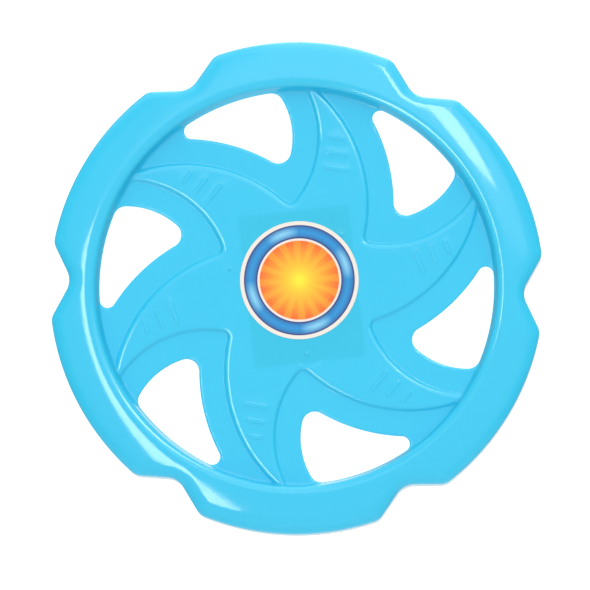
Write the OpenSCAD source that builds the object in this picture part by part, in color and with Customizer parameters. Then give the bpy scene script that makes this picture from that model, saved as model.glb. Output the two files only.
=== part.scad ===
// Perforated flying disc: one thin moulding with a round-shouldered rim, six grip
// notches, six windows and a star of six curved blades, and a label on each face.
// Millimetres. +Z is up, the origin is on the axis at the rim's rest edge, and a
// notch is centred on +X.

/* [Disc] */
// Diameter across the lobes of the rim
disc_d = 250; // [247:0.5:253]
// Height from the rest edge to the crest of the rim
disc_h = 22; // [20:0.5:24]
// Wall thickness of the moulding
wall = 1.8; // [1.4:0.1:2.2]

/* [Rim] */
// Radius where the rim's inner wall leaves the web
rim_foot_r = 100.8; // [100.4:0.1:101.2]
// Inner radius of the crest
crest_in_r = 103.8; // [103:0.1:104.4]
// Outer radius of the crest
crest_out_r = 108.2; // [107:0.1:109]
// Fall of the crown outside the crest, in degrees
crown_fall = 9; // [7:0.5:11]
// Radius of the shoulder between the crown and the skirt
shoulder_r = 7; // [6:0.5:7.5]

/* [Grip notches] */
// Depth of a notch below the lobes
notch_depth = 10; // [8:0.5:10.5]
// Angle that a notch's flank makes with the lobes, in degrees
notch_slope = 27.4; // [26:0.2:30]
// Radius of a notch's floor
notch_floor_r = 10.5; // [10:0.5:14]
// Radius of the corner between a flank and a lobe
notch_corner_r = 8; // [8:0.5:10]

/* [Blades] */
// Depth of the pockets below the crest
pocket_depth = 7.2; // [6:0.2:9]
// Height of the blades above the pockets
blade_h = 1.4; // [1:0.1:1.6]
// Width of the slope along a blade's edge
blade_slope_w = 2.4; // [1.8:0.1:2.6]
// Distance from the axis to the centre of a leading edge
lead_centre = 58.8; // [58.4:0.1:59.2]
// Angle of that centre beyond the pocket's notch, in degrees
lead_angle = 75.9; // [75:0.1:77]
// Radius of a leading edge at its foot
lead_r = 77.6; // [77:0.1:78]
// Distance from the axis to the centre of a trailing edge
trail_centre = 86.5; // [86:0.1:87]
// Radius of a trailing edge at its foot
trail_r = 51.4; // [51:0.1:52]
// Radius of a pocket's inner corner
pocket_corner_r = 3; // [2.5:0.1:4]

/* [Windows] */
// Width of the pocket floor left beside each blade
window_margin = 12.5; // [11:0.5:14]
// Radius of the windows' outer sides
window_rim_r = 99.7; // [98:0.1:99.8]
// Radius of the two wide corners
window_corner_r = 6.4; // [5:0.2:7]
// Radius of the corner at the blade's tip
window_tip_r = 4; // [3:0.2:5]

/* [Grip ribs] */
// Length of the rib nearest the hub
rib_length = 12.6; // [10:0.2:13]
// How much shorter each rib is than the one before
rib_taper = 2.6; // [2:0.1:3]
// Width of a rib
rib_w = 2.1; // [1.8:0.1:3]
// Height of a rib
rib_h = 0.4; // [0.3:0.1:0.8]
// Distance from rib to rib
rib_pitch = 7.9; // [7:0.1:8.4]
// Number of ribs on a blade
rib_count = 3; // [1:1:3]

/* [Labels] */
// Diameter of the front label
label_d = 60; // [50:1:60]
// Thickness of both labels
label_t = 0.15; // [0.1:0.05:0.2]
// Width of the back label
back_label_w = 56; // [40:1:56]
// Length of the back label
back_label_l = 77; // [60:1:77]

/* [Hidden] */
$fn = 96;

sectors = 6;
pitch = 360 / sectors;
disc_r = disc_d / 2;
eps = 1;

// Levels of the top surface
pocket_z = disc_h - pocket_depth;
blade_z = pocket_z + blade_h;

// Slope of the rim's inner wall
rim_wall_slope = atan2(disc_h - blade_z, crest_in_r - rim_foot_r);
// Level at which the crown's line would meet the skirt's
crown_edge_z = disc_h - (disc_r - crest_out_r) * tan(crown_fall);
// The shoulder's arc is this much proud of both lines, so that it crosses them
shoulder_rise = 0.02;
shoulder_centre = [
  disc_r - shoulder_r + shoulder_rise,
  crown_edge_z + (shoulder_r - shoulder_rise) * (tan(crown_fall) - 1 / cos(crown_fall))
];

// Notch outline, with its axis on +X
notch_centre = [disc_r - notch_depth + notch_floor_r, 0];
flank_reach = notch_centre[0] * cos(notch_slope) - notch_floor_r - notch_corner_r;
corner_angle = acos(flank_reach / (disc_r - notch_corner_r)) - notch_slope;
corner_centre = (disc_r - notch_corner_r) * [cos(corner_angle), sin(corner_angle)];

// Centres of the two circles that bound a pocket
lead_c = lead_centre * [cos(lead_angle), sin(lead_angle)];
trail_c = [trail_centre, 0];
blade_edge_slope = atan2(blade_h, blade_slope_w);

// The arc that rounds a pocket's corner is this much proud of its sides, so that it crosses them
pocket_corner_rise = 0.03;

// How far the kites over the sharp corners reach, for a pocket's cones and a window's outline
pocket_kite_reach = 4;
window_kite_reach = 1.5;

// The rim starts this far outside the foot of its inner wall, and the web runs on into it
rim_foot_step = 0.2;
web_overlap = 0.5;

// First rib of the blade whose tip lies beyond +Y, and the turn of every rib
rib_at = [18.4, 60.6];
rib_turn = -7.3;

// Moulding gates on the hub, left as small nubs
gate_r = 34.8;
gate_angles = [-80, 51, 167];
gate_d = 1.6;
gate_h = 0.5;

// Places of the labels
front_label_at = [1.4, 3.4];
back_label_at = [2.6, 0.2];
back_label_turn = 8.2;

// Where two circles cross, on the left (side = 1) or right (side = -1) of the line between them
function meet(c1, r1, c2, r2, side) =
  let (
    d = norm(c2 - c1),
    along = (d * d + r1 * r1 - r2 * r2) / (2 * d),
    across = sqrt(r1 * r1 - along * along),
    u = (c2 - c1) / d
  )
  c1 + along * u + side * across * [-u[1], u[0]];

// Point at a distance r from c, towards p
function toward(c, p, r) = c + (p - c) * r / norm(p - c);

// Centre of the arc of radius r that rounds the corner where two circles cross. grow1 and
// grow2 are 1 where the shape is outside that circle, and -1 where it is inside.
function corner_centre_of(c1, r1, grow1, c2, r2, grow2, r, side) =
  meet(c1, r1 + grow1 * r, c2, r2 + grow2 * r, side);

// Kite over that sharp corner, from the centre of its rounding to reach times as far as the corner
module corner_kite(c1, r1, grow1, c2, r2, grow2, r, side, reach) {
  m = corner_centre_of(c1, r1, grow1, c2, r2, grow2, r, side);
  apex = meet(c1, r1, c2, r2, side);
  t1 = toward(c1, m, r1);
  t2 = toward(c2, m, r2);
  polygon([m, m + reach * (t1 - m), m + reach * (apex - m), m + reach * (t2 - m)]);
}

// Inner radius of the solid under the rim's top surface
function rim_start_r(inset) = rim_foot_r + rim_foot_step + inset;

// Half-section under the rim's top surface, moved into the material by inset
module rim_section(inset) {
  wall_shift = inset * tan(rim_wall_slope / 2);
  crown_shift = inset * tan(crown_fall / 2);
  bottom = inset > 0 ? -eps : 0;
  start_r = rim_start_r(inset);
  start_z = blade_z - inset + (start_r - rim_foot_r - wall_shift) * tan(rim_wall_slope);
  edge_z = crown_edge_z - inset / cos(crown_fall) + inset * tan(crown_fall);
  difference() {
    polygon([
      [start_r, bottom],
      [start_r, start_z],
      [crest_in_r + wall_shift, disc_h - inset],
      [crest_out_r - crown_shift, disc_h - inset],
      [disc_r - inset, edge_z],
      [disc_r - inset, bottom]
    ]);
    difference() {
      polygon([
        shoulder_centre,
        shoulder_centre + 2 * shoulder_r * [sin(crown_fall), cos(crown_fall)],
        shoulder_centre + 2 * shoulder_r * [1, 1],
        shoulder_centre + [2 * shoulder_r, 0]
      ]);
      translate(shoulder_centre) circle(shoulder_r - inset);
    }
  }
}

// Half of the plan that a notch takes from the rim, with its outline moved in by inset
module notch_half(inset) {
  out = notch_depth;
  flank_normal = [cos(notch_slope), -sin(notch_slope)];
  floor_end = notch_centre - (notch_floor_r + inset) * flank_normal;
  flank_end = corner_centre + (notch_corner_r - inset) * flank_normal;
  lobe_dir = corner_centre / norm(corner_centre);
  difference() {
    polygon([
      notch_centre,
      floor_end,
      flank_end,
      corner_centre,
      corner_centre + (notch_corner_r + out) * lobe_dir,
      notch_centre + [out, 0]
    ]);
    translate(corner_centre) circle(notch_corner_r - inset);
  }
}

// Plan of a notch
module notch_plan(inset) {
  translate(notch_centre) circle(notch_floor_r + inset);
  notch_half(inset);
  mirror([0, 1]) notch_half(inset);
}

module notch(inset) {
  translate([0, 0, -2 * eps])
    linear_extrude(disc_h + 4 * eps)
      notch_plan(inset);
}

// Hollow between two blades, from its floor to above the blades
module pocket(inset) {
  h = blade_h + 2 * eps;
  run = h / tan(blade_edge_slope);
  shift = inset * tan(blade_edge_slope / 2);
  r = pocket_corner_r + shift + pocket_corner_rise;
  m = corner_centre_of(lead_c, lead_r, 1, trail_c, trail_r, -1, pocket_corner_r, -1);
  translate([0, 0, pocket_z - inset]) {
    difference() {
      translate(trail_c) cylinder(h = h, r1 = trail_r + shift, r2 = trail_r + shift + run);
      translate([lead_c[0], lead_c[1], -eps])
        cylinder(
          h = h + 2 * eps,
          r1 = lead_r - shift + eps * run / h,
          r2 = lead_r - shift - run - eps * run / h
        );
      translate([0, 0, -eps])
        linear_extrude(h + 2 * eps)
          corner_kite(lead_c, lead_r, 1, trail_c, trail_r, -1, pocket_corner_r, -1, pocket_kite_reach);
    }
    translate(m) cylinder(h = h, r1 = r, r2 = r + run);
  }
}

// Solid under the star of blades and the pockets between them
module web_form(inset) {
  bottom = inset > 0 ? -eps : 0;
  difference() {
    translate([0, 0, bottom])
      cylinder(h = blade_z - inset - bottom, r = rim_start_r(inset) + web_overlap);
    for (i = [0 : sectors - 1]) {
      rotate(i * pitch) pocket(inset);
    }
  }
}

// Solid under the rim's top surface, with its notches
module rim_form(inset) {
  difference() {
    rotate_extrude() rim_section(inset);
    for (i = [0 : sectors - 1]) {
      rotate(i * pitch) notch(inset);
    }
  }
}

// Solid under the whole top surface, moved into the material by inset
module top_form(inset) {
  rim_form(inset);
  web_form(inset);
}

// Opening through a pocket's floor
module window() {
  lead_side = lead_r + window_margin;
  trail_side = trail_r - window_margin;
  axis = [0, 0];
  linear_extrude(disc_h) {
    difference() {
      intersection() {
        translate(trail_c) circle(trail_side);
        circle(window_rim_r);
      }
      translate(lead_c) circle(lead_side);
      corner_kite(lead_c, lead_side, 1, trail_c, trail_side, -1, window_corner_r, -1, window_kite_reach);
      corner_kite(axis, window_rim_r, -1, trail_c, trail_side, -1, window_corner_r, -1, window_kite_reach);
      corner_kite(axis, window_rim_r, -1, lead_c, lead_side, 1, window_tip_r, -1, window_kite_reach);
    }
    translate(corner_centre_of(lead_c, lead_side, 1, trail_c, trail_side, -1, window_corner_r, -1))
      circle(window_corner_r);
    translate(corner_centre_of(axis, window_rim_r, -1, trail_c, trail_side, -1, window_corner_r, -1))
      circle(window_corner_r);
    translate(corner_centre_of(axis, window_rim_r, -1, lead_c, lead_side, 1, window_tip_r, -1))
      circle(window_tip_r);
  }
}

// Bar with round ends, along X
module rib(length) {
  straight = length - rib_w;
  linear_extrude(rib_h + eps) {
    translate([-straight / 2, -rib_w / 2]) square([straight, rib_w]);
    translate([-straight / 2, 0]) circle(d = rib_w);
    translate([straight / 2, 0]) circle(d = rib_w);
  }
}

module blade_ribs() {
  for (i = [0 : rib_count - 1]) {
    translate([rib_at[0], rib_at[1] + i * rib_pitch, blade_z - eps])
      rotate(rib_turn)
        rib(rib_length - i * rib_taper);
  }
}

module gate_nub() {
  translate([gate_r, 0, blade_z - eps]) cylinder(h = gate_h + eps, d = gate_d);
}

module disc_body() {
  color("deepskyblue") {
    difference() {
      top_form(0);
      top_form(wall);
      for (i = [0 : sectors - 1]) {
        rotate(i * pitch) window();
      }
    }
    for (i = [0 : sectors - 1]) {
      rotate(i * pitch) blade_ribs();
    }
    for (a = gate_angles) {
      rotate(a) gate_nub();
    }
  }
}

module front_label() {
  color("orange")
    translate([front_label_at[0], front_label_at[1], blade_z])
      cylinder(h = label_t, d = label_d);
}

module back_label() {
  color("white")
    translate([back_label_at[0], back_label_at[1], blade_z - wall - label_t])
      rotate(back_label_turn)
        translate([-back_label_w / 2, -back_label_l / 2, 0])
          cube([back_label_w, back_label_l, label_t]);
}

disc_body();
front_label();
back_label();
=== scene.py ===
import math

import bmesh
import bpy
import numpy as np
from mathutils import Matrix, Vector, kdtree
from mathutils.geometry import delaunay_2d_cdt


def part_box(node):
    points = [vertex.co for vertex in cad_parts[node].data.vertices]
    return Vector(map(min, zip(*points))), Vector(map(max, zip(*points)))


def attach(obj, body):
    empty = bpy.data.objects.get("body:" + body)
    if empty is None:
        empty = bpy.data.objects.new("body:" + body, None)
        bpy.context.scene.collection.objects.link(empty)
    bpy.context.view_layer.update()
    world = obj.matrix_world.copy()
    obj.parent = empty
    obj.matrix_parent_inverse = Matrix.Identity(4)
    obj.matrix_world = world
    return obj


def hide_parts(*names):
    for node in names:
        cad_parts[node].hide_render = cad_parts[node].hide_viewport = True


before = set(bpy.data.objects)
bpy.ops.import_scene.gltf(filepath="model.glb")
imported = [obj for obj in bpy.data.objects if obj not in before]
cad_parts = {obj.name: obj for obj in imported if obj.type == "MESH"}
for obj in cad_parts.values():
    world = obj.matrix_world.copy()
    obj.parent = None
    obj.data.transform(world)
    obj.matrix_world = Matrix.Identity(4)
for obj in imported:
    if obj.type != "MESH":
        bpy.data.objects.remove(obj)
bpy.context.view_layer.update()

# Lengths below are in millimetres, as in the part's source, and MM turns them into metres.
# The disc's own size, the levels of the labels and their places come from the frame.
MM = 0.001
_, BODY_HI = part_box("disc_body")
FRONT_LO, FRONT_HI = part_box("front_label")
BACK_LO, BACK_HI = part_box("back_label")

DISC_R = BODY_HI.y / MM
DISC_H = BODY_HI.z / MM
BLADE_Z = FRONT_LO.z / MM
WALL = BLADE_Z - BACK_HI.z / MM
SECTORS = 6
PITCH = math.tau / SECTORS

# Rim. CREST_R is where its top is level.
RIM_FOOT_R = 100.8
CREST_IN_R = 103.8
CREST_OUT_R = 108.2
CREST_R = 105.4
# Slope of the inner side, in degrees, at distances inward from the crest: a bent edge, a narrow
# ledge and the steep wall
CREST_EDGE = ((0, 0), (1.3, 10), (2.4, 13), (3.5, 40), (4.1, 76), (8, 76))
# Slope of the crown at CREST_OUT_R, and how much it grows with each millimetre beyond
CROWN_START = math.radians(5.1)
CROWN_BEND = math.radians(0.53)
GROOVE_ROUND = 1.4
UNDER_GROOVE_ROUND = 4.2
UNDER_CREST_ROUND = 0.5
# The shoulder has this radius, and a larger one over its first SHOULDER_LEAD of turn
SHOULDER_R = 5.0
SHOULDER_LEAD_R = 22.0
SHOULDER_LEAD = math.radians(22)
REST_LIP_R = 0.85

# Grip notches
NOTCH_DEPTH = 10
NOTCH_SLOPE = math.radians(27.4)
NOTCH_FLOOR_R = 10.5
NOTCH_CORNER_R = 8

# Blades and the pockets between them
BLADE_H = 1.4
BLADE_SLOPE_W = 2.4
LEAD_C = 58.8 * np.array([math.cos(math.radians(75.9)), math.sin(math.radians(75.9))])
LEAD_R = 77.6
TRAIL_C = np.array([86.5, 0.0])
TRAIL_R = 51.4
POCKET_CORNER_R = 3

# A blade's edge, from the blade down to the pocket: a gentle lead, a bend, a steep face and a
# tight hollow, whose foot lies just inside the pocket's outline
BLADE_EDGE_W = 3.6
BLADE_EDGE_LEAD = 1.6
BLADE_EDGE_BEND = 0.9
BLADE_EDGE_HOLLOW = 0.7
BLADE_EDGE_LEAD_SLOPE = 0.17
BLADE_EDGE_STEEP_SLOPE = 0.9
BLADE_FOOT_IN = 0.3

# Windows
WINDOW_MARGIN = 12.5
WINDOW_RIM_R = 99.7
WINDOW_CORNER_R = 6.4
WINDOW_TIP_R = 4
WINDOW_LIP_W = 1.3
WINDOW_LIP_H = 0.6
WINDOW_UNDER_LIP = 0.4
# Part of the lip's height that is left beside the rim, and how far from it that begins
WINDOW_LIP_AT_RIM = 0.25
WINDOW_LIP_RIM_GAP = 0.3

# Grip ribs
RIB_AT = np.array([18.4, 60.6])
RIB_PITCH = 7.9
RIB_LENGTHS = (12.6, 10.0, 7.4)
RIB_TURN = math.radians(-7.3)
RIB_W = 2.0
RIB_H = 0.3
RIB_EDGE = 0.4

# Moulding gates
GATE_R = 34.8
GATE_ANGLES = [math.radians(a) for a in (-80, 51, 167)]
GATE_W = 1.6
GATE_H = 0.45
GATE_EDGE = 0.4
# Faint round dimple about the first gate, a little to one side of it
DIMPLE_OFF = np.array([1.6, 1.4])
DIMPLE_R = 7.7
DIMPLE_EDGE = 1.0
DIMPLE_DEPTH = 0.06


# --- plane geometry ---------------------------------------------------------------------

def meet(c1, r1, c2, r2, side):
    """Where two circles cross, on the left (side 1) or right (side -1) of the line between them."""
    d = np.linalg.norm(c2 - c1)
    along = (d * d + r1 * r1 - r2 * r2) / (2 * d)
    across = math.sqrt(r1 * r1 - along * along)
    u = (c2 - c1) / d
    return c1 + along * u + side * across * np.array([-u[1], u[0]])


def turned(points, angle):
    c, s = math.cos(angle), math.sin(angle)
    return np.asarray(points) @ np.array([[c, s], [-s, c]])


def in_each_sector(points):
    return np.vstack([turned(points, i * PITCH) for i in range(SECTORS)])


class Cell:
    """A plan shape bounded by circles. Each side is (centre, radius, keep), with keep 1 for a shape
    outside that circle and -1 for one inside it. Each corner is (side, side, rounding radius)."""

    def __init__(self, sides, corners):
        self.sides = sides
        self.corners = []
        for i, j, r in corners:
            (c1, r1, k1), (c2, r2, k2) = sides[i], sides[j]
            m = meet(c1, r1 + k1 * r, c2, r2 + k2 * r, -1)
            t1 = c1 + (m - c1) * r1 / np.linalg.norm(m - c1)
            t2 = c2 + (m - c2) * r2 / np.linalg.norm(m - c2)
            self.corners.append((m, r, t1, t2))

    def gap(self, p):
        """Distance from the outline, positive outside the shape."""
        d = np.max([-k * (np.linalg.norm(p - c, axis=1) - r) for c, r, k in self.sides], axis=0)
        for m, r, t1, t2 in self.corners:
            w = p - m
            ab = w @ np.linalg.inv(np.array([t1 - m, t2 - m]))
            d = np.where((ab > 0).all(axis=1), np.linalg.norm(w, axis=1) - r, d)
        return d


def arc(c, r, start, end, step, outward):
    """Points and outward normals along the shorter arc of a circle, with its last point left out."""
    a0, a1 = (math.atan2(*(p - c)[::-1]) for p in (start, end))
    a1 = a0 + (a1 - a0 + math.pi) % math.tau - math.pi
    n = max(2, round(abs(a1 - a0) * r / step))
    a = np.linspace(a0, a1, n, endpoint=False)
    u = np.stack([np.cos(a), np.sin(a)], axis=1)
    return c + r * u, outward * u


ORIGIN = np.zeros(2)
POCKET = Cell([(LEAD_C, LEAD_R, 1), (TRAIL_C, TRAIL_R, -1)], [(0, 1, POCKET_CORNER_R)])
WINDOW = Cell(
    [
        (LEAD_C, LEAD_R + WINDOW_MARGIN, 1),
        (TRAIL_C, TRAIL_R - WINDOW_MARGIN, -1),
        (ORIGIN, WINDOW_RIM_R, -1),
    ],
    [(0, 1, WINDOW_CORNER_R), (2, 1, WINDOW_CORNER_R), (2, 0, WINDOW_TIP_R)],
)


def window_outline(step):
    """Points of one window's outline, with normals that point out of the window."""
    (m1, r1, lead1, trail1), (m2, r2, rim2, trail2), (m3, r3, rim3, lead3) = WINDOW.corners
    (lead_c, lead_r, _), (trail_c, trail_r, _), (_, rim_r, _) = WINDOW.sides
    parts = [
        arc(m1, r1, lead1, trail1, step / 2, 1),
        arc(trail_c, trail_r, trail1, trail2, step, 1),
        arc(m2, r2, trail2, rim2, step / 2, 1),
        arc(ORIGIN, rim_r, rim2, rim3, step, 1),
        arc(m3, r3, rim3, lead3, step / 2, 1),
        arc(lead_c, lead_r, lead3, lead1, step, -1),
    ]
    return np.vstack([p for p, _ in parts]), np.vstack([n for _, n in parts])


# --- levels of the moulding's faces -----------------------------------------------------

def smooth_max(a, b, k):
    h = np.clip(1 - np.abs(a - b) / k, 0, 1)
    return np.maximum(a, b) + h * h * k / 4


def smooth_min(a, b, k):
    return -smooth_max(-a, -b, k)


def smooth_step(x):
    x = np.clip(x, 0, 1)
    return x * x * (3 - 2 * x)


def six_fold(p):
    """The point turned into each sector in turn."""
    return [turned(p, -i * PITCH) for i in range(SECTORS)]


def integral(x, y):
    """Running integral of y over x, from 0."""
    return np.concatenate([[0], np.cumsum((y[1:] + y[:-1]) / 2 * np.diff(x))])


# Fall of a blade's edge at distances outward from the blade.
EDGE_POINTS = 400
EDGE_V = np.linspace(0, BLADE_EDGE_W, EDGE_POINTS)
EDGE_SLOPE = (
    BLADE_EDGE_LEAD_SLOPE * np.clip(EDGE_V / BLADE_EDGE_LEAD, 0, 1)
    + BLADE_EDGE_STEEP_SLOPE * smooth_step((EDGE_V - BLADE_EDGE_LEAD) / BLADE_EDGE_BEND)
) * (1 - smooth_step((EDGE_V - BLADE_EDGE_W + BLADE_EDGE_HOLLOW) / BLADE_EDGE_HOLLOW))
EDGE_FALL = integral(EDGE_V, EDGE_SLOPE)
EDGE_FALL *= BLADE_H / EDGE_FALL[-1]


def web_level(p, inset):
    """Level of the blades and pockets, moved into the material by inset."""
    slope = BLADE_H / BLADE_SLOPE_W
    shift = inset * math.tan(math.atan(slope) / 2)
    foot = BLADE_EDGE_W - BLADE_FOOT_IN + shift
    drops = [np.interp(foot - POCKET.gap(q), EDGE_V, EDGE_FALL) for q in six_fold(p)]
    # A soft maximum, so that neighbouring pockets blend where they meet.
    drop = (np.array(drops) ** 4).sum(axis=0) ** 0.25
    return BLADE_Z - inset - np.minimum(drop, BLADE_H)


# Level of the rim's top, from its slopes at distances inward (RIM_V) and outward (CROWN_V) from
# the crest.
PROFILE_POINTS = 1600
CROWN_REACH = 24
RIM_V = np.linspace(0, CREST_EDGE[-1][0], PROFILE_POINTS)
WALL_ANGLE = np.interp(RIM_V, *zip(*CREST_EDGE))
WALL_FALL = integral(RIM_V, np.tan(np.radians(WALL_ANGLE)))
CROWN_V = np.linspace(0, CROWN_REACH, PROFILE_POINTS)
TO_CROWN = CREST_OUT_R - CREST_R
CROWN_ANGLE = np.where(
    CROWN_V < TO_CROWN,
    CROWN_START * CROWN_V / TO_CROWN,
    CROWN_START + CROWN_BEND * (CROWN_V - TO_CROWN),
)
CROWN_DROP = integral(CROWN_V, np.tan(CROWN_ANGLE))


def crown_level(r):
    return DISC_H - np.interp(r - CREST_R, CROWN_V, CROWN_DROP)


def crown_slope(r):
    return (crown_level(r - 0.01) - crown_level(r + 0.01)) / 0.02


def rim_top_level(r):
    return crown_level(r) - np.interp(CREST_R - r, RIM_V, WALL_FALL)


def rim_wall_level(r, inset):
    slope = (DISC_H - BLADE_Z) / (CREST_IN_R - RIM_FOOT_R)
    shift = inset * math.tan(math.atan(slope) / 2)
    return BLADE_Z - inset + (r - RIM_FOOT_R - shift) * slope


def lip(gap, width, height):
    """Drop of a rounded edge of the given width and height, at a distance gap from it."""
    t = np.clip(1 - gap / width, 0, 1)
    return height * (1 - np.sqrt(np.maximum(1 - t * t, 0)))


def window_gap(p):
    return np.min([WINDOW.gap(q) for q in six_fold(p)], axis=0)


def rib_level(p):
    rise = np.zeros(len(p))
    for q in six_fold(p):
        for i, length in enumerate(RIB_LENGTHS):
            w = turned(q - RIB_AT - np.array([0, i * RIB_PITCH]), -RIB_TURN)
            w[:, 0] -= np.clip(w[:, 0], -(length - RIB_W) / 2, (length - RIB_W) / 2)
            off = np.linalg.norm(w, axis=1)
            rise = np.maximum(rise, smooth_step((RIB_W / 2 + RIB_EDGE / 2 - off) / RIB_EDGE))
    return RIB_H * rise


def gate_place(angle):
    return GATE_R * np.array([math.cos(angle), math.sin(angle)])


def dimple_centre():
    return gate_place(GATE_ANGLES[0]) + DIMPLE_OFF


def soft_disc(p, centre, radius, edge):
    """1 inside a circle and 0 outside, with a soft edge."""
    off = np.linalg.norm(p - centre, axis=1)
    return smooth_step((radius + edge / 2 - off) / edge)


def gate_level(p):
    nubs = sum(soft_disc(p, gate_place(a), GATE_W / 2, GATE_EDGE) for a in GATE_ANGLES)
    return GATE_H * nubs - DIMPLE_DEPTH * soft_disc(p, dimple_centre(), DIMPLE_R, DIMPLE_EDGE)


def top_level(p):
    r = np.linalg.norm(p, axis=1)
    z = smooth_max(web_level(p, 0), rim_top_level(r), GROOVE_ROUND)
    # The windows' edges are rounder towards the hub than beside the rim.
    inward = smooth_step((WINDOW_RIM_R - WINDOW_LIP_RIM_GAP - r) / WINDOW_LIP_W)
    lip_h = WINDOW_LIP_H * (WINDOW_LIP_AT_RIM + (1 - WINDOW_LIP_AT_RIM) * inward)
    return z + rib_level(p) + gate_level(p) - lip(window_gap(p), WINDOW_LIP_W, lip_h)


def under_level(p):
    r = np.linalg.norm(p, axis=1)
    z = smooth_max(web_level(p, WALL), rim_wall_level(r, WALL), UNDER_GROOVE_ROUND)
    ceiling = crown_level(r) - WALL * np.sqrt(1 + crown_slope(r) ** 2)
    z = smooth_min(z, ceiling, UNDER_CREST_ROUND)
    return z + lip(window_gap(p), WINDOW_UNDER_LIP, WINDOW_UNDER_LIP)


# --- rim ----------------------------------------------------------------------------------

# Where the rim's mesh meets the web's
RING_R = 100.6

# Spacing of the outline's points
NOTCH_FLOOR_STEP = 1.1
NOTCH_CORNER_STEP = 0.5
LOBE_STEP = 3.0
FLANK_POINTS = 10

# First guess for the shoulder's width
SHOULDER_GUESS = 7


def rim_outline():
    """Points and outward normals of the whole outline."""
    floor_c = np.array([DISC_R - NOTCH_DEPTH + NOTCH_FLOOR_R, 0.0])
    reach = floor_c[0] * math.cos(NOTCH_SLOPE) - NOTCH_FLOOR_R - NOTCH_CORNER_R
    a = math.acos(reach / (DISC_R - NOTCH_CORNER_R)) - NOTCH_SLOPE
    lobe_dir = np.array([math.cos(a), math.sin(a)])
    corner_c = (DISC_R - NOTCH_CORNER_R) * lobe_dir
    into_notch = np.array([math.cos(NOTCH_SLOPE), -math.sin(NOTCH_SLOPE)])
    floor_mid = floor_c - np.array([NOTCH_FLOOR_R, 0.0])
    floor_end = floor_c - NOTCH_FLOOR_R * into_notch
    flank_end = corner_c + NOTCH_CORNER_R * into_notch
    lobe_start = DISC_R * lobe_dir
    lobe_mid = DISC_R * np.array([math.cos(PITCH / 2), math.sin(PITCH / 2)])

    along = np.linspace(0, 1, FLANK_POINTS, endpoint=False)[:, None]
    flank = floor_end + along * (flank_end - floor_end)
    parts = [
        arc(floor_c, NOTCH_FLOOR_R, floor_mid, floor_end, NOTCH_FLOOR_STEP, -1),
        (flank, np.tile(into_notch, (FLANK_POINTS, 1))),
        arc(corner_c, NOTCH_CORNER_R, flank_end, lobe_start, NOTCH_CORNER_STEP, 1),
        arc(ORIGIN, DISC_R, lobe_start, lobe_mid, LOBE_STEP, 1),
    ]
    points = np.vstack([p for p, _ in parts])
    normals = np.vstack([n for _, n in parts])
    # The other half of the sector is the mirror image, walked back to the next notch.
    mirror = np.array([[math.cos(PITCH), math.sin(PITCH)], [math.sin(PITCH), -math.cos(PITCH)]])
    back_points = np.vstack([points[1:], lobe_mid])[::-1] @ mirror
    back_normals = np.vstack([normals[1:], lobe_mid / DISC_R])[::-1] @ mirror
    points = np.vstack([points, back_points])
    normals = np.vstack([normals, back_normals])
    return in_each_sector(points), in_each_sector(normals)


def polar(r, a):
    return np.stack([r * np.cos(a), r * np.sin(a)], axis=1)


def angle_near(points, a):
    """Polar angles of points, each within half a turn of a."""
    return a + np.angle(np.exp(1j * (np.arctan2(points[:, 1], points[:, 0]) - a)))


def shoulder_offset(tilt, psi, steps=24):
    """How far out and down the shoulder has gone where its normal has turned from tilt to psi."""
    turn = (psi - tilt)[:, None]
    a = tilt[:, None] + turn * (np.arange(steps) + 0.5) / steps
    lead = np.clip(1 - (a - tilt[:, None]) / SHOULDER_LEAD, 0, 1)
    path = (SHOULDER_R + SHOULDER_LEAD_R * lead ** 2) * turn / steps
    return (path * np.cos(a)).sum(axis=1), (path * np.sin(a)).sum(axis=1)


def shoulder_start(outline, outward, quarter):
    """Where the shoulder leaves the crown, and the crown's tilt there across the outline. Each
    depends on the other, so they are worked out together in a few rounds."""
    radial = outline / np.linalg.norm(outline, axis=1)[:, None]
    facing = (radial * outward).sum(axis=1)
    start = outline - SHOULDER_GUESS * outward
    for _ in range(4):
        tilt = np.arctan(crown_slope(np.linalg.norm(start, axis=1)) * facing)
        width, _fall = shoulder_offset(tilt, quarter)
        start = outline - width[:, None] * outward
    return start, tilt


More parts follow.
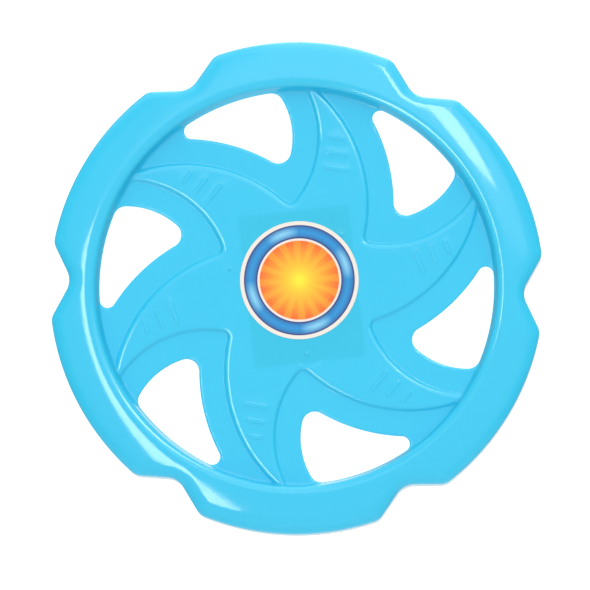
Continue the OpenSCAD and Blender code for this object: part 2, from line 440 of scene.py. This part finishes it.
def rim_rows(outline, outward):
    """Rows of points (x, y, z) round the rim, from the web's ring over the crest, the shoulder and
    the rest edge, and back inside to the underside's ring."""
    quarter = np.full(len(outline), math.pi / 2)
    start, tilt = shoulder_start(outline, outward, quarter)
    start_r = np.linalg.norm(start, axis=1)
    start_z = crown_level(start_r)
    ring_a = np.unwrap(np.arctan2(outline[:, 1], outline[:, 0]))
    start_a = angle_near(start, ring_a)

    def ring(r):
        return polar(np.full(len(ring_a), r), ring_a)

    # Inner wall and crown
    inner_radii = np.concatenate([
        np.linspace(RING_R, 102.0, 11, endpoint=False),
        np.linspace(102.0, CREST_R, 13, endpoint=False),
    ])
    rows = [np.column_stack([ring(r), top_level(ring(r))]) for r in inner_radii]
    for s in np.linspace(0, 1, 13):
        r = CREST_R + s * (start_r - CREST_R)
        rows.append(np.column_stack([polar(r, ring_a + s * (start_a - ring_a)), crown_level(r)]))

    # Shoulder, with its normals, which place the inside of the wall
    shoulder = []
    for s in np.linspace(0, 1, 17)[1:]:
        psi = tilt + s * (quarter - tilt)
        out, down = shoulder_offset(tilt, psi)
        point = np.column_stack([start + out[:, None] * outward, start_z - down])
        shoulder.append((point, np.column_stack([outward * np.sin(psi)[:, None], np.cos(psi)])))
    rows += [point for point, _ in shoulder]

    # Skirt and rounded rest edge
    skirt_z = shoulder[-1][0][:, 2]
    for s in (0.35, 0.7):
        rows.append(np.column_stack([outline, skirt_z + s * (REST_LIP_R - skirt_z)]))
    edge_turns = np.linspace(0, math.pi / 2, 6)
    outer = [(REST_LIP_R * (1 - math.cos(t)), t) for t in edge_turns]
    inner = [(WALL - REST_LIP_R * (1 - math.cos(t)), t) for t in edge_turns[::-1]]
    for inset, t in outer + inner:
        z = np.full(len(outline), REST_LIP_R * (1 - math.sin(t)))
        rows.append(np.column_stack([outline - inset * outward, z]))

    # Inside of the skirt and shoulder
    inside = [point - WALL * normal for point, normal in shoulder[::-1]]
    wall_plan = inside[0][:, :2]
    wall_top_z = inside[0][:, 2]
    for s in (0.3, 0.65):
        rows.append(np.column_stack([wall_plan, REST_LIP_R + s * (wall_top_z - REST_LIP_R)]))
    rows += inside[::2]

    # Underside of the crown and wall
    last = inside[::2][-1]
    last_r = np.linalg.norm(last[:, :2], axis=1)
    last_a = angle_near(last, ring_a)
    for s in np.linspace(1, 0, 7)[1:]:
        plan = polar(CREST_R + s * (last_r - CREST_R), ring_a + s * (last_a - ring_a))
        rows.append(np.column_stack([plan, under_level(plan)]))
    for r in (104.9, 104.4, 104.0, 103.4, 102.8, 102.2, 101.6, 101.1, RING_R):
        rows.append(np.column_stack([ring(r), under_level(ring(r))]))
    return rows, ring_a


# --- web ------------------------------------------------------------------------------------

# Spacing of the points along the windows and pockets, and of the grid between them
WINDOW_STEP = 1.3
POCKET_STEP = 1.3
POCKET_CORNER_STEP = 0.5
GRID_STEP = 4.5

# How far the rows along the pockets run on beyond the rim's foot
POCKET_RUN_ON = 6

# Points inside the web keep clear of its ring and of the windows
RING_CLEAR = 0.12
WINDOW_CLEAR = 0.05


def circle_points(count):
    """Points on a circle of radius 1."""
    a = np.arange(count) * math.tau / count
    return np.stack([np.cos(a), np.sin(a)], axis=1)


def lip_rows():
    """Rows of points along one window's rounded edge."""
    outline, out = window_outline(WINDOW_STEP)
    rows = [
        outline + out * WINDOW_LIP_W * (1 - math.sin(math.radians(t))) for t in (72, 55, 38, 25, 12)
    ]
    return rows + [outline + out * WINDOW_LIP_W * w for w in (1.0, 1.25)]


def pocket_rows():
    """Rows of points along one pocket's edges, from the rim round its inner corner to the rim."""
    m, r, lead_t, trail_t = POCKET.corners[0]
    far = RIM_FOOT_R + POCKET_RUN_ON
    lead_far = meet(ORIGIN, far, LEAD_C, LEAD_R, -1)
    trail_far = meet(ORIGIN, far, TRAIL_C, TRAIL_R, -1)
    parts = [
        arc(LEAD_C, LEAD_R, lead_far, lead_t, POCKET_STEP, -1),
        arc(m, r, lead_t, trail_t, POCKET_CORNER_STEP, 1),
        arc(TRAIL_C, TRAIL_R, trail_t, trail_far, POCKET_STEP, 1),
    ]
    edge = np.vstack([p for p, _ in parts])
    edge_out = np.vstack([n for _, n in parts])
    offsets = (-0.7, -0.3, -0.1, 0.1, 0.3, 0.5, 0.75, 1.05, 1.4, 1.7, 1.95, 2.2, 2.5, 2.8, 3.2)
    return [edge + edge_out * d for d in offsets]


def rib_rows():
    """Rows of points round the ribs of one pocket."""
    rows = []
    a = np.linspace(-math.pi / 2, math.pi / 2, 9)[1:-1]
    for i, length in enumerate(RIB_LENGTHS):
        straight = (length - RIB_W) / 2
        xs = np.linspace(-straight, straight, max(3, round(length)))
        for beyond in (-0.4, -0.2, 0, 0.15, 0.3):
            off = RIB_W / 2 + beyond
            loop = np.vstack([
                np.stack([xs, xs * 0 + off], axis=1),
                np.stack([xs, xs * 0 - off], axis=1),
                np.stack([straight + off * np.cos(a), off * np.sin(a)], axis=1),
                np.stack([-straight - off * np.cos(a), off * np.sin(a)], axis=1),
            ])
            rows.append(turned(loop, RIB_TURN) + RIB_AT + np.array([0, i * RIB_PITCH]))
    return rows


def gate_rows():
    """Circles of points round the gates and the dimple."""
    rows = []
    for angle in GATE_ANGLES:
        rows += [gate_place(angle) + circle_points(16) * r for r in (0.35, 0.65, 0.8, 0.95, 1.15)]
    for beyond in (-0.6, -0.3, 0, 0.3, 0.6):
        rows.append(dimple_centre() + circle_points(48) * (DIMPLE_R + beyond))
    return rows


def grid_points():
    """Triangular grid that covers the web."""
    n = int(RING_R / GRID_STEP) + 1
    return np.array([
        [(i + 0.5 * (j % 2)) * GRID_STEP, j * GRID_STEP * math.sqrt(3) / 2]
        for i in range(-n, n + 1)
        for j in range(-n - 4, n + 5)
    ])


def web_points(ring_a):
    """Plan points of the web, with the edges that its triangles have to keep: the ring and the
    windows' outlines first, then rows along every other edge, then a grid."""
    ring = polar(np.full(len(ring_a), RING_R), ring_a)
    outline, _ = window_outline(WINDOW_STEP)
    edges = [(i, (i + 1) % len(ring)) for i in range(len(ring))]
    fixed = [ring]
    count = len(ring)
    n = len(outline)
    for i in range(SECTORS):
        fixed.append(turned(outline, i * PITCH))
        edges += [(count + j, count + (j + 1) % n) for j in range(n)]
        count += n
    kept = np.vstack(fixed)

    ring_rows = [ring * (r / RING_R) for r in (98.9, 99.4, 100.0, 100.2, 100.4)]

    # Each batch leaves out points that come closer than its spacing to one already kept.
    batches = [
        (in_each_sector(np.vstack(lip_rows())), 0.10),
        (in_each_sector(np.vstack(rib_rows())), 0.10),
        (np.vstack(gate_rows()), 0.10),
        (in_each_sector(np.vstack(pocket_rows())), 0.14),
        (np.vstack(ring_rows), 0.2),
        (grid_points(), 1.6),
    ]
    for batch, spacing in batches:
        inside = np.linalg.norm(batch, axis=1) < RING_R - RING_CLEAR
        batch = batch[inside & (window_gap(batch) > WINDOW_CLEAR)]
        tree = kdtree.KDTree(len(kept))
        for i, p in enumerate(kept):
            tree.insert((p[0], p[1], 0), i)
        tree.balance()
        far_enough = [tree.find((p[0], p[1], 0))[2] > spacing for p in batch]
        kept = np.vstack([kept, batch[far_enough]])
    return kept, edges


def web_faces(points, edges):
    """The web's triangles, and its points as the triangles number them."""
    verts, _, tris, _, _, _ = delaunay_2d_cdt(
        [Vector(p) for p in points], edges, [], 0, 1e-7, False
    )
    plan = np.array([(v.x, v.y) for v in verts])
    tris = np.array(tris)
    centre = plan[tris].mean(axis=1)
    keep = (window_gap(centre) > 0) & (np.linalg.norm(centre, axis=1) < RING_R)
    tris = tris[keep]
    a, b, c = (plan[tris[:, i]] for i in range(3))
    area = np.cross(b - a, c - a)
    tris[area < 0] = tris[area < 0][:, ::-1]
    return plan, tris


def make_object(name, verts, faces, smooth=True):
    """Object from points in millimetres, with doubled points merged and loose ones left out."""
    mesh = bpy.data.meshes.new(name)
    mesh.from_pydata((np.asarray(verts) * MM).tolist(), [], faces)
    bm = bmesh.new()
    bm.from_mesh(mesh)
    bmesh.ops.remove_doubles(bm, verts=bm.verts, dist=2e-6)
    loose = [v for v in bm.verts if not v.link_faces]
    bmesh.ops.delete(bm, geom=loose, context="VERTS")
    for f in bm.faces:
        f.smooth = smooth
    bm.to_mesh(mesh)
    bm.free()
    obj = bpy.data.objects.new(name, mesh)
    bpy.context.scene.collection.objects.link(obj)
    return obj


def make_moulding():
    """The whole blue moulding as one closed surface: rim, web and the windows' walls."""
    outline, outward = rim_outline()
    rows, ring_a = rim_rows(outline, outward)
    n = len(ring_a)
    verts = [np.vstack(rows)]
    faces = []
    for i in range(len(rows) - 1):
        here, below = i * n, (i + 1) * n
        for j in range(n):
            k = (j + 1) % n
            faces.append((here + j, below + j, below + k, here + k))
    count = len(verts[0])

    points, edges = web_points(ring_a)
    plan, tris = web_faces(points, edges)
    verts.append(np.column_stack([plan, top_level(plan)]))
    faces += (tris + count).tolist()
    count += len(plan)
    verts.append(np.column_stack([plan, under_level(plan)]))
    faces += (tris[:, ::-1] + count).tolist()
    count += len(plan)

    window, _ = window_outline(WINDOW_STEP)
    n = len(window)
    for i in range(SECTORS):
        loop = turned(window, i * PITCH)
        verts.append(np.column_stack([loop, top_level(loop)]))
        verts.append(np.column_stack([loop, under_level(loop)]))
        for j in range(n):
            k = (j + 1) % n
            faces.append((count + j, count + k, count + n + k, count + n + j))
        count += 2 * n
    return make_object("disc_moulding", np.vstack(verts), faces)


def label_mesh(name, outline, z_low, z_high, edge):
    """Flat label with a softened upper edge. outline is in millimetres, counter-clockwise."""
    centre = outline.mean(axis=0)
    inward = centre - outline
    inward /= np.linalg.norm(inward, axis=1)[:, None]
    n = len(outline)
    rows = [
        np.column_stack([outline, np.full(n, z_low)]),
        np.column_stack([outline, np.full(n, z_high - edge)]),
        np.column_stack([outline + inward * edge, np.full(n, z_high)]),
    ]
    faces = [
        (i * n + j, i * n + (j + 1) % n, (i + 1) * n + (j + 1) % n, (i + 1) * n + j)
        for i in range(2)
        for j in range(n)
    ]
    faces.append(tuple(2 * n + j for j in range(n)))
    faces.append(tuple(range(n))[::-1])
    return make_object(name, np.vstack(rows), faces, smooth=False)


# --- materials ------------------------------------------------------------------------------

def srgb(r, g, b):
    """A colour given as 0-255 display values, as linear values with alpha."""
    def linear(c):
        c /= 255
        return c / 12.92 if c <= 0.04045 else ((c + 0.055) / 1.055) ** 2.4
    return (*(linear(c) for c in (r, g, b)), 1.0)


class Nodes:
    """Short calls for building a node material."""

    def __init__(self, name):
        self.material = bpy.data.materials.new(name)
        self.material.use_nodes = True
        self.tree = self.material.node_tree
        self.tree.nodes.clear()

    def add(self, kind, inputs=(), **settings):
        node = self.tree.nodes.new(kind)
        for key, value in settings.items():
            setattr(node, key, value)
        for key, value in dict(inputs).items():
            if isinstance(value, bpy.types.NodeSocket):
                self.tree.links.new(value, node.inputs[key])
            else:
                node.inputs[key].default_value = value
        return node

    def math(self, operation, a, b=0.0, c=0.0):
        return self.add("ShaderNodeMath", {0: a, 1: b, 2: c}, operation=operation).outputs[0]

    def mix(self, factor, a, b):
        node = self.tree.nodes.new("ShaderNodeMix")
        node.data_type = "RGBA"
        for socket, value in ((node.inputs[0], factor), (node.inputs[6], a), (node.inputs[7], b)):
            if isinstance(value, bpy.types.NodeSocket):
                self.tree.links.new(value, socket)
            else:
                socket.default_value = value
        return node.outputs[2]

    def noise(self, scale, detail=2.0):
        coords = self.add("ShaderNodeTexCoord").outputs["Object"]
        inputs = {"Vector": coords, "Scale": scale, "Detail": detail}
        return self.add("ShaderNodeTexNoise", inputs).outputs[0]

    def ramp(self, value, lo, hi, to_lo, to_hi):
        return self.add(
            "ShaderNodeMapRange",
            {"Value": value, "From Min": lo, "From Max": hi, "To Min": to_lo, "To Max": to_hi},
        ).outputs[0]

    def bump(self, height, distance, strength=1.0):
        return self.add(
            "ShaderNodeBump", {"Height": height, "Distance": distance, "Strength": strength}
        ).outputs[0]

    def surface(self, inputs):
        shader = self.add("ShaderNodeBsdfPrincipled", inputs)
        self.add("ShaderNodeOutputMaterial", {"Surface": shader.outputs[0]})
        return self.material


def local_xy(nodes, centre, turn=0.0):
    """x and y in metres from a centre given in metres, turned by -turn."""
    coords = nodes.add("ShaderNodeTexCoord").outputs["Object"]
    moved = nodes.add(
        "ShaderNodeVectorMath", {0: coords, 1: (centre[0], centre[1], 0.0)}, operation="SUBTRACT"
    ).outputs[0]
    spun = nodes.add(
        "ShaderNodeVectorRotate",
        {"Vector": moved, "Angle": -turn},
        rotation_type="Z_AXIS",
    ).outputs[0]
    parts = nodes.add("ShaderNodeSeparateXYZ", {0: spun})
    return parts.outputs[0], parts.outputs[1]


BACK_CENTRE = (BACK_LO + BACK_HI) / 2
BACK_TURN = math.radians(8.2)
BACK_W = 56
BACK_L = 77

PLASTIC_DEEP = (0.030, 0.522, 0.762, 1)
PLASTIC_PALE = (0.037, 0.540, 0.780, 1)
# Painted shade: the plastic a little darker where the back label blocks light through it
PLASTIC_LABEL_SHADE = (0.024, 0.507, 0.735, 1)


def plastic():
    """Glossy, slightly translucent blue, with painted shade where the back label blocks light through
    it.
    """
    n = Nodes("blue_plastic")
    x, y = local_xy(n, BACK_CENTRE, BACK_TURN)

    def within(value, half):
        return n.ramp(n.math("ABSOLUTE", value), (half - 0.3) * MM, (half + 0.5) * MM, 1.0, 0.0)

    # Painted shade over the back label's rectangle, where the label blocks light through the plastic
    label_shade = n.math("MULTIPLY", within(x, BACK_W / 2), within(y, BACK_L / 2))
    base = n.mix(n.noise(14.0, 3.0), PLASTIC_DEEP, PLASTIC_PALE)
    marks = n.noise(260.0, 4.0)
    fine = n.noise(1400.0, 2.0)
    return n.surface({
        "Base Color": n.mix(label_shade, base, PLASTIC_LABEL_SHADE),
        "Roughness": n.ramp(marks, 0.3, 0.7, 0.05, 0.10),
        "IOR": 1.5,
        "Subsurface Weight": 0.25,
        "Subsurface Radius": (0.6, 1.0, 1.2),
        "Subsurface Scale": 0.003,
        "Normal": n.bump(fine, 0.000004),
    })


LABEL_CENTRE = (FRONT_LO + FRONT_HI) / 2
LABEL_R = (FRONT_HI.x - FRONT_LO.x) / 2 / MM

# Radii of the print on the front label: a band between two thin lines, and the sun inside them
PRINT_R = 28.0
BAND_OUT_R = 27.4
BAND_MID_R = 24.6
BAND_IN_R = 21.9
LINE_IN_R = 21.2
SUN_R = 20.1


def printed_label():
    """Plain sunburst in a blue ring on cream."""
    n = Nodes("printed_label")
    x, y = local_xy(n, LABEL_CENTRE)
    squares = n.math("ADD", n.math("MULTIPLY", x, x), n.math("MULTIPLY", y, y))
    r = n.math("MULTIPLY", n.math("SQRT", squares), 1 / MM)
    angle = n.math("ARCTAN2", y, x)

    def inside(radius, soft=0.12):
        return n.ramp(r, radius - soft, radius + soft, 1.0, 0.0)

    cream = srgb(228, 221, 211)
    navy = srgb(22, 44, 120)
    cyan = srgb(0, 140, 205)
    pale = srgb(140, 208, 235)
    gleam = n.math("SINE", n.math("MULTIPLY", angle, 4.0))
    across = n.ramp(n.math("ABSOLUTE", n.math("SUBTRACT", r, BAND_MID_R)), 0.0, 3.0, 1.0, 0.0)
    band = n.mix(n.math("POWER", across, 0.45), navy, cyan)
    band = n.mix(n.math("MULTIPLY", across, n.ramp(gleam, 0.2, 1.0, 0.0, 0.85)), band, pale)
    glow = n.ramp(r, 2.0, 19.0, 0.0, 1.0)
    grain = n.noise(700.0, 3.0)
    orange = n.mix(n.ramp(grain, 0.35, 0.65, 0.0, 0.35), srgb(246, 100, 8), srgb(248, 128, 12))
    sun = n.mix(n.math("POWER", glow, 0.8), srgb(255, 222, 30), orange)
    rays = n.ramp(n.math("SINE", n.math("MULTIPLY", angle, 16.0)), -0.15, 0.15, 0.0, 0.22)
    sun = n.mix(n.math("MULTIPLY", rays, n.ramp(r, 5.0, 12.0, 0.0, 1.0)), sun, srgb(255, 205, 40))
    color = cream
    for radius, paint in (
        (PRINT_R, navy), (BAND_OUT_R, band), (BAND_IN_R, navy), (LINE_IN_R, cream), (SUN_R, sun),
    ):
        color = n.mix(inside(radius), color, paint)
    fibre = n.noise(2500.0, 2.0)
    return n.surface({
        "Base Color": color,
        "Roughness": n.ramp(n.noise(500.0), 0.3, 0.7, 0.28, 0.36),
        "IOR": 1.45,
        "Normal": n.bump(fibre, 0.000003),
    })


def paper():
    n = Nodes("back_paper")
    color = n.mix(n.noise(900.0, 4.0), srgb(236, 234, 230), srgb(244, 243, 240))
    return n.surface({
        "Base Color": color,
        "Roughness": n.ramp(n.noise(400.0), 0.3, 0.7, 0.55, 0.7),
        "Normal": n.bump(n.noise(3000.0, 3.0), 0.000006),
    })


def floor_material():
    n = Nodes("pale_floor")
    color = n.mix(n.noise(6.0, 3.0), (0.36, 0.36, 0.36, 1), (0.40, 0.40, 0.40, 1))
    return n.surface({
        "Base Color": color,
        "Roughness": 0.9,
        "Emission Color": (0.97, 0.985, 1.0, 1),
        "Emission Strength": 0.90,
    })


# --- pieces -----------------------------------------------------------------------------------

PLASTIC = plastic()
PRINT = printed_label()
PAPER = paper()

moulding = make_moulding()
moulding.data.materials.append(PLASTIC)
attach(moulding, "root")
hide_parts("disc_body")

# The labels stay this far clear of the plastic, so that no faces coincide.
LABEL_GAP = 0.01
FRONT_EDGE = 0.05
BACK_EDGE = 0.04
BACK_CORNER_R = 2.0

label_middle = np.array([LABEL_CENTRE.x, LABEL_CENTRE.y]) / MM
label_outline = label_middle + (LABEL_R - LABEL_GAP) * circle_points(128)
front = label_mesh(
    "front_label_print", label_outline, FRONT_LO.z / MM + LABEL_GAP, FRONT_HI.z / MM, FRONT_EDGE
)
front.data.materials.append(PRINT)
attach(front, "root")
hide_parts("front_label")

quarter = np.linspace(0, math.pi / 2, 7)
back_outline = np.vstack([
    np.array([sx * (BACK_W / 2 - BACK_CORNER_R), sy * (BACK_L / 2 - BACK_CORNER_R)])
    + polar(BACK_CORNER_R, quarter + q * math.pi / 2)
    for q, (sx, sy) in enumerate(((1, 1), (-1, 1), (-1, -1), (1, -1)))
])
back_outline = turned(back_outline, BACK_TURN) + np.array([BACK_CENTRE.x, BACK_CENTRE.y]) / MM
back = label_mesh(
    "back_label_paper", back_outline, BACK_LO.z / MM, BACK_HI.z / MM - LABEL_GAP, BACK_EDGE
)
back.data.materials.append(PAPER)
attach(back, "root")
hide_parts("back_label")


# --- floor, light and camera --------------------------------------------------------------------

# Half the floor's width, and how far it lies below the rest edge, in metres
FLOOR_HALF = 6
FLOOR_DROP = 0.0005

corners = [(sx * FLOOR_HALF, sy * FLOOR_HALF, 0) for sx, sy in ((-1, -1), (1, -1), (1, 1), (-1, 1))]
floor_mesh = bpy.data.meshes.new("floor")
floor_mesh.from_pydata(corners, [], [(0, 1, 2, 3)])
floor = bpy.data.objects.new("floor", floor_mesh)
floor.location.z = -FLOOR_DROP
bpy.context.scene.collection.objects.link(floor)
floor_mesh.materials.append(floor_material())
# The plastic mirrors the light tent, not the floor.
floor.visible_glossy = False

# Strengths of the light tent's parts, which are added up
HORIZON_GLOW = 0.45
ZENITH_GLOW = 1.0
FAR_GLOW = 1.0
FAR_LOW_GLOW = 0.9
NEAR_LOW_GLOW = 0.6
SIDE_LOSS = -0.1
LOW_GLOW = 0.35
UNDER_GLOW = 0.6


def studio_world():
    """Soft light tent, brightest overhead and on the far side, with a bright spot straight below.
    x, y and z are the direction's parts, each between -1 and 1."""
    world = bpy.data.worlds.new("studio")
    world.use_nodes = True
    tree = world.node_tree
    sky = tree.nodes["Background"]

    def add(kind, *links, **settings):
        node = tree.nodes.new(kind)
        for key, value in settings.items():
            setattr(node, key, value)
        for socket, value in links:
            if isinstance(value, bpy.types.NodeSocket):
                tree.links.new(value, node.inputs[socket])
            else:
                node.inputs[socket].default_value = value
        return node.outputs[0]

    def ramp(value, lo, hi, to_lo, to_hi):
        return add(
            "ShaderNodeMapRange",
            ("Value", value), ("From Min", lo), ("From Max", hi), ("To Min", to_lo), ("To Max", to_hi),
            interpolation_type="SMOOTHSTEP",
        )

    coords = tree.nodes.new("ShaderNodeTexCoord").outputs["Generated"]
    parts = tree.nodes.new("ShaderNodeSeparateXYZ")
    tree.links.new(coords, parts.inputs[0])
    x, y, z = parts.outputs
    below = ramp(z, -0.1, 0.0, LOW_GLOW - HORIZON_GLOW, 0.0)
    dome = ramp(z, 0.70, 0.95, HORIZON_GLOW, ZENITH_GLOW)
    far_side = ramp(y, 0.13, 0.18, 0.0, FAR_GLOW)
    for value, lo, hi in ((x, -0.25, -0.08), (x, 0.44, 0.28)):
        far_side = add(
            "ShaderNodeMath", (0, far_side), (1, ramp(value, lo, hi, 0.0, 1.0)), operation="MULTIPLY"
        )
    total = dome
    for part in (
        far_side,
        below,
        ramp(y, 0.45, 0.85, 0.0, FAR_LOW_GLOW),
        ramp(y, -0.3, -0.7, 0.0, NEAR_LOW_GLOW),
        ramp(z, 0.6, 0.3, 0.0, SIDE_LOSS),
        ramp(z, -0.95, -0.98, 0.0, UNDER_GLOW),
    ):
        total = add("ShaderNodeMath", (0, total), (1, part), operation="ADD")
    tree.links.new(total, sky.inputs[1])
    sky.inputs[0].default_value = (1.0, 1.0, 1.0, 1.0)
    bpy.context.scene.world = world


studio_world()

HUB = Vector((0.0, 0.0, BLADE_Z * MM))

# The camera looks down on the hub from this far, tilted off the vertical towards this azimuth.
# VIEW_TURN is the turn of the picture's upright from the frame's Y.
CAMERA_DISTANCE = 3.0
CAMERA_TILT = math.radians(6.1)
CAMERA_AZIMUTH = math.radians(-70.63)
CAMERA_LENS = 362.6
VIEW_TURN = math.radians(1.73)

# How far below and left of the hub the camera aims, in metres
AIM_DOWN = 0.00415
AIM_LEFT = 0.0007


def panel(name, centre, size, turn, radiance):
    """Rectangular softbox over the hub, facing down. centre is its place from the hub and turn its
    turn in degrees about the vertical, both with the camera's upright as Y."""
    data = bpy.data.lights.new(name, "AREA")
    data.shape = "RECTANGLE"
    data.size, data.size_y = size
    data.energy = radiance * math.pi * data.size * data.size_y
    obj = bpy.data.objects.new(name, data)
    place = Matrix.Translation(centre) @ Matrix.Rotation(math.radians(turn), 4, "Z")
    obj.matrix_world = Matrix.Translation(HUB) @ Matrix.Rotation(VIEW_TURN, 4, "Z") @ place
    obj.visible_camera = False
    bpy.context.scene.collection.objects.link(obj)
    return obj


panel("strip_upper_right", centre=(0.557, 1.25, 2.5), size=(0.260, 1.20), turn=0.0, radiance=8.6)
panel("strip_left", centre=(-0.561, -0.20, 2.5), size=(0.247, 1.235), turn=9.2, radiance=9.0)


def direction(azimuth):
    return Vector((math.cos(azimuth), math.sin(azimuth), 0.0))


back_dir = math.sin(CAMERA_TILT) * direction(CAMERA_AZIMUTH)
back_dir.z = math.cos(CAMERA_TILT)
right = direction(VIEW_TURN + math.pi / 2).cross(back_dir).normalized()
up = back_dir.cross(right)
aim = HUB - AIM_DOWN * up - AIM_LEFT * right
axes = Matrix((right, up, back_dir)).transposed().to_4x4()

cam_data = bpy.data.cameras.new("camera")
cam_data.lens = CAMERA_LENS
cam_data.sensor_width = 36.0
cam = bpy.data.objects.new("camera", cam_data)
cam.matrix_world = Matrix.Translation(aim + CAMERA_DISTANCE * back_dir) @ axes
bpy.context.scene.collection.objects.link(cam)
bpy.context.scene.camera = cam

view = bpy.context.scene.view_settings
view.view_transform = "Standard"
view.exposure = 0.0
